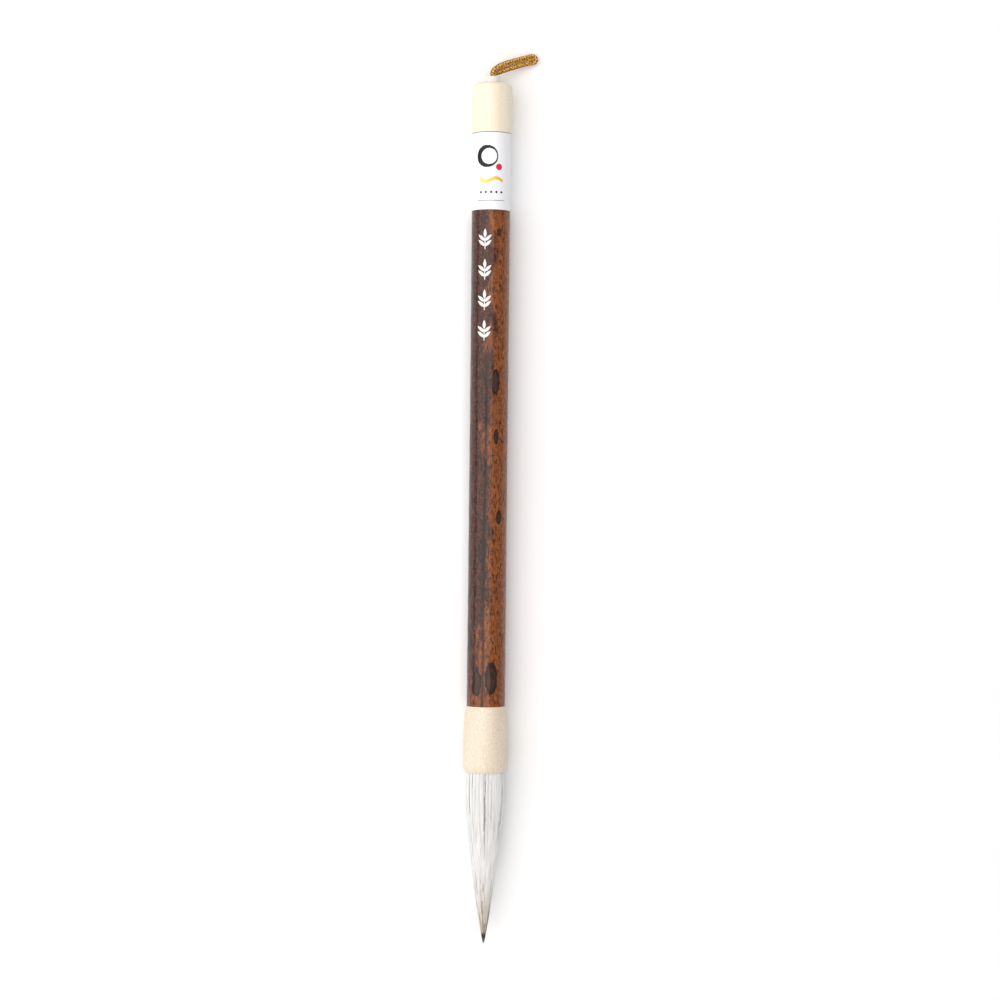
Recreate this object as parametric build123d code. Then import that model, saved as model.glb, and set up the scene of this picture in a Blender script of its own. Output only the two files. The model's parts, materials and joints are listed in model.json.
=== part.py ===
"""Large calligraphy brush, lying on its side: +Y runs from the hair tip to the hanging loop.

The brush is a stack of turned and hollow pieces on one axis. The handle is a hollow bamboo culm.
A wooden ferrule and a wooden top cap each plug into it with a tenon. The hair is a core bundle,
a ring of shorter waist hair and a coat of cover hair, tied and sealed together at the root and
glued into the ferrule. The hair bends, so it is divided in two places by ball-ended hinges.
A doubled cord is knotted under the top cap and leaves it through a small knob.
Lengths are in millimetres.
"""

import os
from math import pi, radians, tan

from build123d import *

# Lengths along the brush.
HAIR_FREE = 50.0
FERRULE_LENGTH = 19.2
HANDLE_LENGTH = 166.3
CAP_LENGTH = 14.5
KNOB_HEIGHT = 2.2

# Bamboo handle.
HANDLE_R = 5.6
CULM_HOLLOW_R = 3.3

# Ferrule.
FERRULE_MAX_R = 6.65
FERRULE_TOP_R = 5.8
FERRULE_LIP_R = 5.85
FERRULE_BAND = (2.6, 6.0)
FERRULE_TENON_LENGTH = 12.0
SOCKET_R = 5.55
SOCKET_DEPTH = 13.0

# Top cap, knob and cord.
CAP_R = 5.85
CAP_EDGE_RADIUS = 1.3
CAP_TENON_LENGTH = 10.0
CAP_ROOF = 5.0
KNOT_CHAMBER_R = 2.55
TENON_CLEARANCE = 0.05
KNOB_R = 2.5
KNOB_EDGE_RADIUS = 0.55
KNOB_STUB_R = 2.3
KNOB_STUB_LENGTH = 1.5
CORD_R = 0.85
CORD_BORE_R = 1.85
STRAND_OFFSET = 0.9
KNOT_R = 2.4

# Paper label and engraved, paint-filled ornaments.
LABEL_LENGTH = 22.5
LABEL_THICKNESS = 0.12
ENGRAVING_DEPTH = 0.15
SPRIG_X = -1.6
SPRIGS_BELOW_LABEL = (8.4, 17.2, 26.0, 34.8)
STEM_LENGTH = 3.6
STEM_WIDTH = 0.3
LEAF_LENGTH = 2.6
LEAF_WIDTH = 0.9
LEAF_TURN = 46
LEAF_PAIR_HEIGHTS = (0.9, 2.4)

# Hair. Stations are distances from the ferrule's mouth towards the tip.
HAIR_OUTLINE = (
    (0.0, 5.45),
    (7.0, 5.6),
    (14.0, 5.2),
    (21.0, 4.45),
    (27.0, 3.65),
    (33.0, 2.8),
    (39.0, 2.0),
    (46.0, 0.9),
)
HAIR_TIP_R = 0.2
CORE_R = 2.6
CORE_R_AT_SPLIT = 2.3
CORE_R_AT_COVER_END = 1.55
WAIST_R = 4.0
WAIST_END = 21.0
COVER_END = 40.0
ROOT_DISC_THICKNESS = 1.2
RESIN_THICKNESS = 0.6
THREAD_R = 0.25
THREAD_TURNS = 6
THREAD_TOP = 10.6
ROOT_HAIR_R = 5.45

# Where the hair hinges. Each ball end turns below the flat end of the hair before it.
BELLY_HINGE = 6.0
BELLY_BALL_R = 5.55
TIP_HINGE = 27.0
TIP_BALL_R = 3.6
HINGE_GAP = 0.3
CORD_HINGE_ABOVE_KNOB = 1.2

# Stations along Y, worked out so that the box without the cord is centred on the origin.
OVERALL = HAIR_FREE + FERRULE_LENGTH + HANDLE_LENGTH + CAP_LENGTH + KNOB_HEIGHT
TIP_Y = -OVERALL / 2
MOUTH_Y = TIP_Y + HAIR_FREE
FERRULE_TOP_Y = MOUTH_Y + FERRULE_LENGTH
HANDLE_TOP_Y = FERRULE_TOP_Y + HANDLE_LENGTH
CAP_TOP_Y = HANDLE_TOP_Y + CAP_LENGTH
KNOB_TOP_Y = CAP_TOP_Y + KNOB_HEIGHT
SOCKET_FLOOR_Y = MOUTH_Y + SOCKET_DEPTH
AXIS_Z = FERRULE_MAX_R
LABEL_BOTTOM_Y = HANDLE_TOP_Y - LABEL_LENGTH
CORD_HINGE_Y = KNOB_TOP_Y + CORD_HINGE_ABOVE_KNOB

# The free cord's route, from the middle of the hinge at the knob. It bends out of the knob to the
# side, comes down to the table and doubles back at a pinched fold.
CORD_ROUTE = (
    (0.0, 0.0, STRAND_OFFSET),
    (1.0, 1.3, 0.75),
    (3.4, 2.6, -0.75),
    (6.6, 3.5, -2.9),
    (9.6, 4.3, -4.6),
    (12.0, 4.9, -5.35),
    (12.7, 2.55, -5.45),
    (10.2, 2.15, -4.75),
    (7.0, 1.35, -3.3),
    (3.8, 0.55, -1.95),
    (1.2, 0.2, -1.0),
    (0.0, 0.0, -STRAND_OFFSET),
)


def turned(*edges):
    """A solid of revolution about the brush's axis, from edges drawn as (radius, station along Y)."""
    return Pos(0, 0, AXIS_Z) * revolve(make_face(list(edges)), Axis.Y)


def turned_polygon(*points):
    """A solid of revolution whose profile is the polygon through (radius, Y) points."""
    return turned(*Polyline(*points, close=True).edges())


def ring(outer, inner, low, high):
    """A tube, or a plain disc when inner is 0, between two stations."""
    return turned_polygon((inner, low), (outer, low), (outer, high), (inner, high))


def ball(radius, station):
    """A ball on the brush's axis."""
    return Pos(0, station, AXIS_Z) * Sphere(radius)


def hair_y(station):
    """The Y of a station measured from the ferrule's mouth towards the tip."""
    return MOUTH_Y - station


def bamboo_handle():
    culm = ring(HANDLE_R, CULM_HOLLOW_R, FERRULE_TOP_Y, HANDLE_TOP_Y)
    return culm - engraving_cutters()


def engraving_cutters():
    """The engraved sprigs: upright prisms, kept to the depth of the engraving."""
    skin = ring(HANDLE_R, HANDLE_R - ENGRAVING_DEPTH, FERRULE_TOP_Y, HANDLE_TOP_Y)
    prism = extrude(sprig(), HANDLE_R + 1)
    prisms = [Pos(SPRIG_X, LABEL_BOTTOM_Y - down, AXIS_Z) * prism for down in SPRIGS_BELOW_LABEL]
    return skin & Compound(prisms)


def sprig():
    """One engraved sprig seen from above: a stem with a leaf at its top and pairs up its sides."""
    foot = -(STEM_LENGTH + LEAF_LENGTH) / 2
    stem = Pos(0, foot + STEM_LENGTH / 2) * Rectangle(STEM_WIDTH, STEM_LENGTH)
    leaf = Pos(0, LEAF_LENGTH / 2) * Ellipse(LEAF_WIDTH / 2, LEAF_LENGTH / 2)
    places = [(height, turn) for height in LEAF_PAIR_HEIGHTS for turn in (LEAF_TURN, -LEAF_TURN)]
    places.append((STEM_LENGTH - LEAF_WIDTH / 4, 0))
    return stem + [Pos(0, foot + height) * Rot(0, 0, turn) * leaf for height, turn in places]


def label_sleeve():
    outer = HANDLE_R + LABEL_THICKNESS
    return ring(outer, HANDLE_R, LABEL_BOTTOM_Y, HANDLE_TOP_Y)


def ferrule():
    """The turned wooden ferrule: hair socket below, belly, and a tenon for the bamboo above."""
    band_low, band_high = (MOUTH_Y + rise for rise in FERRULE_BAND)
    tenon_r = CULM_HOLLOW_R - TENON_CLEARANCE
    tenon_top = FERRULE_TOP_Y + FERRULE_TENON_LENGTH
    band_start, band_end = (FERRULE_MAX_R, band_low), (FERRULE_MAX_R, band_high)
    corner = TangentArc(band_start, (FERRULE_LIP_R, MOUTH_Y), tangent=(0, -1))
    band = Line(band_start, band_end)
    shoulder = TangentArc(band_end, (FERRULE_TOP_R, FERRULE_TOP_Y), tangent=(0, 1))
    inside = Polyline(
        (FERRULE_TOP_R, FERRULE_TOP_Y),
        (tenon_r, FERRULE_TOP_Y),
        (tenon_r, tenon_top),
        (0, tenon_top),
        (0, SOCKET_FLOOR_Y),
        (SOCKET_R, SOCKET_FLOOR_Y),
        (SOCKET_R, MOUTH_Y),
        (FERRULE_LIP_R, MOUTH_Y),
    )
    return turned(corner, band, shoulder, *inside.edges())


def resin_bed():
    return ring(SOCKET_R, 0, SOCKET_FLOOR_Y - RESIN_THICKNESS, SOCKET_FLOOR_Y)


def root_disc():
    """The sealed disc of hair ends, glued against the resin."""
    top = SOCKET_FLOOR_Y - RESIN_THICKNESS
    return ring(ROOT_HAIR_R, 0, top - ROOT_DISC_THICKNESS, top)


def thread_span():
    """The low and high stations of the wound thread."""
    high = MOUTH_Y + THREAD_TOP
    return high - 2 * THREAD_R * THREAD_TURNS, high


def root_thread():
    """The thread wound round the hair just below the root disc, as one ribbed sleeve."""
    low, high = thread_span()
    wound_r = ROOT_HAIR_R - 2 * THREAD_R
    rib_r = wound_r + THREAD_R
    turns = [
        ThreePointArc(
            (rib_r, high - 2 * THREAD_R * turn),
            (ROOT_HAIR_R, high - 2 * THREAD_R * (turn + 0.5)),
            (rib_r, high - 2 * THREAD_R * (turn + 1)),
        )
        for turn in range(THREAD_TURNS)
    ]
    back = Polyline((rib_r, low), (wound_r, low), (wound_r, high), (rib_r, high))
    return turned(*turns, *back.edges())


def whole_hair():
    """The full tuft from the root disc to the point, as one turned solid."""
    root_y = SOCKET_FLOOR_Y - RESIN_THICKNESS - ROOT_DISC_THICKNESS
    outline = Spline(
        *[(radius, hair_y(station)) for station, radius in HAIR_OUTLINE],
        (HAIR_TIP_R, TIP_Y),
    )
    rest = Polyline(
        (HAIR_TIP_R, TIP_Y),
        (0, TIP_Y),
        (0, root_y),
        (HAIR_OUTLINE[0][1], root_y),
        (HAIR_OUTLINE[0][1], MOUTH_Y),
    )
    return turned(outline, *rest.edges())


def core_zone():
    """The space of the long core hairs, which alone reach the point."""
    root_y = SOCKET_FLOOR_Y
    beyond = HANDLE_R
    return turned_polygon(
        (0, root_y),
        (CORE_R, root_y),
        (CORE_R, MOUTH_Y),
        (CORE_R_AT_SPLIT, hair_y(TIP_HINGE)),
        (CORE_R_AT_COVER_END, hair_y(COVER_END)),
        (beyond, hair_y(COVER_END)),
        (beyond, TIP_Y - 1),
        (0, TIP_Y - 1),
    )


def waist_zone():
    """The space of the shorter waist hairs round the core, which give the tuft its belly."""
    return ring(WAIST_R, 0, hair_y(WAIST_END), SOCKET_FLOOR_Y) - core_zone()


def root_zone():
    face = MOUTH_Y - (BELLY_HINGE - BELLY_BALL_R - HINGE_GAP)
    return ring(2 * SOCKET_R, 0, face, SOCKET_FLOOR_Y)


def belly_zone():
    """From the belly hinge's ball to the flat face above the tip hinge's ball."""
    low = hair_y(TIP_HINGE - TIP_BALL_R - HINGE_GAP)
    high = hair_y(BELLY_HINGE)
    return ring(2 * SOCKET_R, 0, low, high) + ball(BELLY_BALL_R, high)


def tip_zone():
    high = hair_y(TIP_HINGE)
    return ring(2 * SOCKET_R, 0, TIP_Y - 1, high) + ball(TIP_BALL_R, high)


def hair_pieces():
    """Every length of every bundle, by node name."""
    hair, core, waist = whole_hair(), core_zone(), waist_zone()
    thread_space = ring(SOCKET_R, ROOT_HAIR_R - 2 * THREAD_R, *thread_span())
    bundles = {"core_hair": hair & core, "waist_hair": hair & waist}
    bundles["cover_hair"] = hair - core - waist
    lengths = {"root": root_zone() - thread_space, "belly": belly_zone(), "tip": tip_zone()}
    pieces = {
        f"{bundle}_{length}": solid & zone
        for bundle, solid in bundles.items()
        for length, zone in lengths.items()
    }
    return {name: piece for name, piece in pieces.items() if piece and piece.volume > 0.01}


def top_cap():
    """The turned cap: a tenon for the bamboo, a chamber for the knot and a bore for the cord."""
    body = ring(CAP_R, 0, HANDLE_TOP_Y, CAP_TOP_Y)
    rim = body.edges().filter_by(GeomType.CIRCLE).sort_by(Axis.Y)[-1]
    body = fillet(rim, CAP_EDGE_RADIUS)
    tenon_low = HANDLE_TOP_Y - CAP_TENON_LENGTH
    tenon = ring(CULM_HOLLOW_R - TENON_CLEARANCE, 0, tenon_low, HANDLE_TOP_Y)
    chamber = ring(KNOT_CHAMBER_R, 0, tenon_low, CAP_TOP_Y - CAP_ROOF)
    bore = ring(CORD_BORE_R, 0, CAP_TOP_Y - CAP_ROOF, CAP_TOP_Y)
    seat = ring(KNOB_STUB_R, 0, CAP_TOP_Y - KNOB_STUB_LENGTH, CAP_TOP_Y)
    return body + tenon - chamber - bore - seat


def cord_knob():
    """The little bored knob that the doubled cord comes out of, with a stub glued in the cap."""
    head = ring(KNOB_R, 0, CAP_TOP_Y, KNOB_TOP_Y)
    rim = head.edges().filter_by(GeomType.CIRCLE).sort_by(Axis.Y)[-1]
    head = fillet(rim, KNOB_EDGE_RADIUS)
    stub_low = CAP_TOP_Y - KNOB_STUB_LENGTH
    stub = ring(KNOB_STUB_R, 0, stub_low, CAP_TOP_Y)
    return head + stub - ring(CORD_BORE_R, 0, stub_low, KNOB_TOP_Y)


def cord_knot():
    """The hidden knot and the two tails that run up through the knob to its top."""
    middle = CAP_TOP_Y - CAP_ROOF - KNOT_R
    length = KNOB_TOP_Y - middle
    tails = [
        Pos(0, middle + length / 2, AXIS_Z + side) * Rot(90, 0, 0) * Cylinder(CORD_R, length)
        for side in (-STRAND_OFFSET, STRAND_OFFSET)
    ]
    return ball(KNOT_R, middle) + tails[0] + tails[1]


def bend_radii(points):
    """The arc at each inner point: 0.45 of the shorter run, over the tangent of half the turn."""
    radii = []
    for before, here, after in zip(points, points[1:], points[2:]):
        run_in, run_out = here - before, after - here
        turn = run_in.get_angle(run_out)
        radii.append(0.45 * min(run_in.length, run_out.length) / tan(radians(turn) / 2))
    return radii


def hanging_loop():
    """The free loop of cord outside the knob, with a round end on the hinge at each strand."""
    start = Vector(0, CORD_HINGE_Y, AXIS_Z)
    points = [start + Vector(*point) for point in CORD_ROUTE]
    radii = bend_radii(points)
    path = FilletPolyline(*points, radius=radii)
    print("cord bend radii:", [round(radius, 2) for radius in radii])
    section = Plane(origin=path @ 0, z_dir=path % 0) * Circle(CORD_R)
    tube = sweep(section, path)
    print(f"cord length {path.length:.2f}, tube volume {tube.volume:.2f}")
    print(f"section times length {pi * CORD_R**2 * path.length:.2f}")
    return tube + Pos(*points[0]) * Sphere(CORD_R) + Pos(*points[-1]) * Sphere(CORD_R)


def main():
    nodes = {
        "bamboo_handle": bamboo_handle(),
        "engraved_leaf_paint": engraving_cutters(),
        "label_sleeve": label_sleeve(),
        "ferrule": ferrule(),
        "resin_bed": resin_bed(),
        "root_disc": root_disc(),
        "root_thread": root_thread(),
        "top_cap": top_cap(),
        "cord_knob": cord_knob(),
        "cord_knot": cord_knot(),
        "hanging_loop": hanging_loop(),
        **hair_pieces(),
    }
    os.makedirs("parts", exist_ok=True)
    for name, shape in nodes.items():
        export_step(shape, f"parts/{name}.step")
    for name, station in (("belly", BELLY_HINGE), ("tip", TIP_HINGE)):
        print(f"{name} hinge at y {hair_y(station):.2f}")
    print(f"cord hinge at y {CORD_HINGE_Y:.2f}, axis height {AXIS_Z}")


main()
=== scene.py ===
"""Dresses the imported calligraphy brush: bamboo handle, turned wood, hair tuft and braided loop.

The brush lies along Y with its hair tip towards -Y. Sizes are in metres. Every place is worked out
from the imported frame, and every piece stands where its CAD node stands.
"""

import json
import logging
import math
from dataclasses import dataclass
from enum import Enum

import bmesh
import bpy
import numpy as np
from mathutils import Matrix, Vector


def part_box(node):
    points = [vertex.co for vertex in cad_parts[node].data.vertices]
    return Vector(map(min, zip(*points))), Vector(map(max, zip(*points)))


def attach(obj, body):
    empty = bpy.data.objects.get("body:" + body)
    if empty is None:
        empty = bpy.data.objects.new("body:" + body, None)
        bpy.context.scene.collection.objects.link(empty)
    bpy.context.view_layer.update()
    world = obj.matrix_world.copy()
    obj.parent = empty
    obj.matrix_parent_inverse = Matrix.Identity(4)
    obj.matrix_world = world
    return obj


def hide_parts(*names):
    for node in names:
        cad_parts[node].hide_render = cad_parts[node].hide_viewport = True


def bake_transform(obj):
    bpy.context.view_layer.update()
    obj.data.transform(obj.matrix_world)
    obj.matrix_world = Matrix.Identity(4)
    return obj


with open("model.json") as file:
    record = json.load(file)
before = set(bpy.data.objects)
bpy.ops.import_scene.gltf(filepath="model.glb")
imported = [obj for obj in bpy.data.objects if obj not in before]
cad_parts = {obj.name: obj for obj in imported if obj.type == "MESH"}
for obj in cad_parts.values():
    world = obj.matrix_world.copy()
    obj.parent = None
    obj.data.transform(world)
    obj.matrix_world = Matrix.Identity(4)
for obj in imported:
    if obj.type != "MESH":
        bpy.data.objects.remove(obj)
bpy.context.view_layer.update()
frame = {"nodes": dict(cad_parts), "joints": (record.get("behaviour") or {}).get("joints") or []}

LOG = logging.getLogger("brush")
MM = 0.001
WELD_DISTANCE = 1e-7
TURNED_EDGE = math.radians(40)
CULM_EDGE = math.radians(50)
Outline = list[tuple[float, float]]
Colour = tuple[float, float, float]
Socket = bpy.types.NodeSocket
Value = Socket | float
Tone = Socket | Colour
Place = tuple[Socket, Socket]


class Body(str, Enum):
    """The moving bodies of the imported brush."""

    ROOT = "root"
    BELLY = "hair_belly"
    TIP = "hair_tip"
    LOOP = "cord_loop"


@dataclass(frozen=True)
class Stations:
    """Places along the brush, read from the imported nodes."""

    axis_z: float
    mouth: float
    ferrule_top: float
    handle_top: float
    cap_top: float
    knob_top: float
    cord_hinge: float

    @classmethod
    def from_frame(cls) -> "Stations":
        """Reads the stations from the boxes and joints of the frame.

        Returns:
            The stations.
        """
        ferrule_low, ferrule_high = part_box("ferrule")
        handle_low, handle_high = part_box("bamboo_handle")
        joints = {joint["name"]: joint for joint in frame["joints"]}
        return cls(
            axis_z=(ferrule_low.z + ferrule_high.z) / 2,
            mouth=ferrule_low.y,
            ferrule_top=handle_low.y,
            handle_top=handle_high.y,
            cap_top=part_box("top_cap")[1].y,
            knob_top=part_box("cord_knob")[1].y,
            cord_hinge=joints["loop_swing"]["pos_m"][1],
        )


AT = Stations.from_frame()


# ---------------------------------------------------------------- node trees


class Graph:
    """A node tree with short calls that add nodes and link their sockets."""

    def __init__(self, tree: bpy.types.NodeTree) -> None:
        """Takes the tree to build in."""
        self.tree = tree

    def add(self, kind: str, inputs: dict | None = None, **settings: object) -> bpy.types.Node:
        """Adds a node.

        Args:
            kind: the node's type name.
            inputs: values or source sockets, by input name or number.
            settings: properties of the node.

        Returns:
            The new node.
        """
        node = self.tree.nodes.new(kind)
        for name, value in settings.items():
            setattr(node, name, value)
        for name, value in (inputs or {}).items():
            self.put(node.inputs[name], value)
        return node

    def put(self, socket: Socket, value: object) -> None:
        """Links a source socket to an input, or sets the input's own value.

        Args:
            socket: the input.
            value: the source socket, or the input's value.
        """
        if isinstance(value, bpy.types.NodeSocket):
            self.tree.links.new(value, socket)
        else:
            socket.default_value = value

    def math(self, operation: str, *values: Value, clamp: bool = False) -> Socket:
        """One step of arithmetic.

        Args:
            operation: the Math node's operation.
            values: numbers or sockets, in the node's order.
            clamp: keeps the result between 0 and 1.

        Returns:
            The result.
        """
        node = self.add("ShaderNodeMath", dict(enumerate(values)), operation=operation)
        node.use_clamp = clamp
        return node.outputs[0]

    def plus(self, first: Value, second: Value) -> Socket:
        """The sum of two values."""
        return self.math("ADD", first, second)

    def minus(self, first: Value, second: Value) -> Socket:
        """The first value less the second."""
        return self.math("SUBTRACT", first, second)

    def times(self, first: Value, second: Value) -> Socket:
        """The product of two values."""
        return self.math("MULTIPLY", first, second)

    def over(self, first: Value, second: Value) -> Socket:
        """The first value divided by the second."""
        return self.math("DIVIDE", first, second)

    def size(self, value: Value) -> Socket:
        """A value without its sign."""
        return self.math("ABSOLUTE", value)

    def below(self, value: Value, limit: Value) -> Socket:
        """1 where a value is under the limit, and 0 elsewhere."""
        return self.math("LESS_THAN", value, limit)

    def fraction(self, value: Value, scale: float) -> Socket:
        """What is left of a scaled value when its whole part is taken off."""
        return self.math("FRACT", self.times(value, scale))

    def centred(self, value: Value, span: Value) -> Socket:
        """A value of 0 to 1 moved about 0, and spread over a span."""
        return self.times(self.minus(value, 0.5), span)

    def length(self, across: Value, up: Value) -> Socket:
        """The long side of a right triangle."""
        return self.math("SQRT", self.plus(self.times(across, across), self.times(up, up)))

    def between(self, value: Socket, low: float, high: float) -> Socket:
        """A smooth step.

        Args:
            value: where to read the step.
            low: the value at which it is 0.
            high: the value at which it is 1.

        Returns:
            The step, from 0 to 1.
        """
        inputs = {"Value": value, "From Min": low, "From Max": high}
        node = self.add("ShaderNodeMapRange", inputs, interpolation_type="SMOOTHSTEP")
        return node.outputs["Result"]

    def noise(self, at: Socket, detail: float = 3.0, roughness: float = 0.55) -> Socket:
        """Fractal noise at scale 1.

        Args:
            at: the point to read it at.
            detail: the number of finer layers.
            roughness: how strong each finer layer is.

        Returns:
            The noise, from 0 to 1.
        """
        inputs = {"Vector": at, "Scale": 1.0, "Detail": detail, "Roughness": roughness}
        return self.add("ShaderNodeTexNoise", inputs).outputs[0]

    def xyz(self, vector: Socket) -> tuple[Socket, Socket, Socket]:
        """The three parts of a vector."""
        return tuple(self.add("ShaderNodeSeparateXYZ", {0: vector}).outputs)

    def vector(self, x: Value, y: Value, z: Value) -> Socket:
        """A vector from three numbers or sockets."""
        return self.add("ShaderNodeCombineXYZ", {0: x, 1: y, 2: z}).outputs[0]


class MaterialGraph(Graph):
    """A material's node tree, measured in millimetres from the brush's axis."""

    def __init__(self, name: str, **surface: float) -> None:
        """Makes the material.

        Args:
            name: its name.
            surface: constants for the shader's own sockets, named in lower case.
        """
        self.material = bpy.data.materials.new(name)
        self.material.use_nodes = True
        super().__init__(self.material.node_tree)
        self.tree.nodes.clear()
        output = self.add("ShaderNodeOutputMaterial")
        titles = (key.replace("_", " ").title().replace("Ior", "IOR") for key in surface)
        named = dict(zip(titles, surface.values()))
        self.surface = self.add("ShaderNodeBsdfPrincipled", named)
        self.put(output.inputs["Surface"], self.surface.outputs[0])

    def place(self) -> Socket:
        """The point on the piece in millimetres, with the brush's axis at x = z = 0.

        Returns:
            The point.
        """
        at = self.add("ShaderNodeTexCoord").outputs["Object"]
        scale = 1 / MM
        moved = self.add(
            "ShaderNodeMapping",
            {"Vector": at, "Scale": (scale,) * 3, "Location": (0, 0, -AT.axis_z * scale)},
        )
        return moved.outputs[0]

    def stretched(self, x: float, y: float, z: float, tilt: float = 0.0) -> Socket:
        """The point on a stretched pattern.

        Args:
            x, y, z: the pattern's scale along each axis, per millimetre.
            tilt: its turn about Z, in degrees.

        Returns:
            The point.
        """
        turned = self.add(
            "ShaderNodeMapping", {"Vector": self.place(), "Rotation": (0, 0, math.radians(tilt))}
        )
        sized = self.add("ShaderNodeMapping", {"Vector": turned.outputs[0], "Scale": (x, y, z)})
        return sized.outputs[0]

    def attribute(self, name: str) -> Socket:
        """A number stored on the piece."""
        return self.add("ShaderNodeAttribute", attribute_name=name).outputs["Fac"]

    def mix(self, amount: Value, first: Tone, second: Tone) -> Socket:
        """Mixes two colours.

        Args:
            amount: the share of the second, from 0 to 1.
            first: a socket, or red, green and blue.
            second: the same.

        Returns:
            The mixed colour.
        """
        node = self.add("ShaderNodeMix", data_type="RGBA")
        for number, value in ((0, amount), (6, first), (7, second)):
            self.put(node.inputs[number], (*value, 1.0) if isinstance(value, tuple) else value)
        return node.outputs[2]

    def stain(self, base: Tone, mask: Value, strength: float, colour: Tone) -> Socket:
        """Lays a colour over part of a base.

        Args:
            base: the colour under it.
            mask: where it lies, from 0 to 1.
            strength: how far it covers there.
            colour: the colour laid over.

        Returns:
            The stained colour.
        """
        return self.mix(self.times(mask, strength), base, colour)

    def ramp(self, amount: Socket, *stops: tuple[float, Colour]) -> Socket:
        """A colour that changes with an amount.

        Args:
            amount: where to read the ramp.
            stops: amounts and their colours.

        Returns:
            The colour, blended between the stops.
        """
        node = self.add("ShaderNodeValToRGB", {"Fac": amount})
        elements = node.color_ramp.elements
        while len(elements) < len(stops):
            elements.new(0.5)
        for element, (position, colour) in zip(elements, stops):
            element.position = position
            element.color = (*colour, 1.0)
        return node.outputs["Color"]

    def bump(self, height: Socket, distance: float, strength: float = 1.0) -> None:
        """Raises the surface.

        Args:
            height: the relief, from 0 to 1.
            distance: how high 1 is, in metres.
            strength: how strongly it shows.
        """
        inputs = {"Height": height, "Distance": distance, "Strength": strength}
        normal = self.add("ShaderNodeBump", inputs).outputs["Normal"]
        self.put(self.surface.inputs["Normal"], normal)

    def colour(self, value: Socket) -> None:
        """Feeds the base colour."""
        self.put(self.surface.inputs["Base Color"], value)

    def roughness(self, value: Socket) -> None:
        """Feeds the roughness."""
        self.put(self.surface.inputs["Roughness"], value)


class GeometryGraph(Graph):
    """A Geometry Nodes tree with named inputs."""

    KINDS = {int: "NodeSocketInt", float: "NodeSocketFloat"}

    def __init__(self, name: str, inputs: dict[str, int | float]) -> None:
        """Makes the tree, with a geometry input before these and a material input after them.

        Args:
            name: the tree's name.
            inputs: the number inputs, by label, with their defaults.
        """
        super().__init__(bpy.data.node_groups.new(name, "GeometryNodeTree"))
        interface = self.tree.interface
        interface.new_socket("Geometry", in_out="INPUT", socket_type="NodeSocketGeometry")
        self.identifiers = {}
        for label, value in inputs.items():
            kind = self.KINDS[type(value)]
            item = interface.new_socket(label, in_out="INPUT", socket_type=kind)
            item.default_value = value
            self.identifiers[label] = item.identifier
        item = interface.new_socket("Material", in_out="INPUT", socket_type="NodeSocketMaterial")
        self.identifiers["Material"] = item.identifier
        interface.new_socket("Geometry", in_out="OUTPUT", socket_type="NodeSocketGeometry")
        self.given = self.add("NodeGroupInput").outputs
        self.result = self.add("NodeGroupOutput").inputs[0]

    def random(self, low: Value, high: Value, seed: int, owner: Socket) -> Socket:
        """A random number for each owner.

        Args:
            low: the least it can be.
            high: the most it can be.
            seed: what is added to the tree's own seed.
            owner: the owner's number.

        Returns:
            The number.
        """
        whole = self.plus(self.given["Seed"], float(seed))
        node = self.add("FunctionNodeRandomValue", data_type="FLOAT")
        for name, value in (("Min", low), ("Max", high)):
            socket = next(s for s in node.inputs if s.name == name and s.type == "VALUE")
            self.put(socket, value)
        self.put(node.inputs["ID"], owner)
        self.put(node.inputs["Seed"], whole)
        return next(s for s in node.outputs if s.type == "VALUE" and s.enabled)

    def store(self, geometry: Socket, name: str, value: Value) -> Socket:
        """Stores a number on every point.

        Args:
            geometry: the points.
            name: the number's name.
            value: the number.

        Returns:
            The geometry with the number on it.
        """
        inputs = {"Geometry": geometry, "Name": name, "Value": value}
        kinds = {"data_type": "FLOAT", "domain": "POINT"}
        return self.add("GeometryNodeStoreNamedAttribute", inputs, **kinds).outputs[0]

    def stored(self, name: str) -> Socket:
        """Reads a stored number."""
        node = self.add("GeometryNodeInputNamedAttribute", {"Name": name}, data_type="FLOAT")
        return node.outputs["Attribute"]

    def tube(self, curve: Socket, radius: Socket, sides: int) -> Socket:
        """Sweeps a closed round section along curves, and caps its ends.

        Args:
            curve: the curves.
            radius: the section's radius at each point.
            sides: the number of facets round it.

        Returns:
            The tubes.
        """
        circle = {"Resolution": sides, "Radius": 1.0}
        section = self.add("GeometryNodeCurvePrimitiveCircle", circle)
        sweep = self.add("GeometryNodeCurveToMesh")
        if "Scale" in sweep.inputs:
            self.put(sweep.inputs["Curve"], curve)
            self.put(sweep.inputs["Scale"], radius)
        else:
            sized = self.add("GeometryNodeSetCurveRadius", {"Curve": curve, "Radius": radius})
            self.put(sweep.inputs["Curve"], sized.outputs[0])
        self.put(sweep.inputs["Profile Curve"], section.outputs[0])
        sweep.inputs["Fill Caps"].default_value = True
        return sweep.outputs[0]

    def finish(self, geometry: Socket) -> None:
        """Ends the tree in Realize Instances, smooth shading and Set Material.

        Args:
            geometry: what the tree has made.
        """
        real = self.add("GeometryNodeRealizeInstances", {"Geometry": geometry})
        smooth = self.add("GeometryNodeSetShadeSmooth", {"Geometry": real.outputs[0]})
        inputs = {"Geometry": smooth.outputs[0], "Material": self.given["Material"]}
        self.put(self.result, self.add("GeometryNodeSetMaterial", inputs).outputs[0])


# ---------------------------------------------------------------- mesh helpers


def add_object(name: str, mesh: bpy.types.Mesh) -> bpy.types.Object:
    """Puts a mesh in the scene as an object at the origin.

    Args:
        name: the object's name.
        mesh: its mesh.

    Returns:
        The object.
    """
    obj = bpy.data.objects.new(name, mesh)
    bpy.context.scene.collection.objects.link(obj)
    return obj


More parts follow.
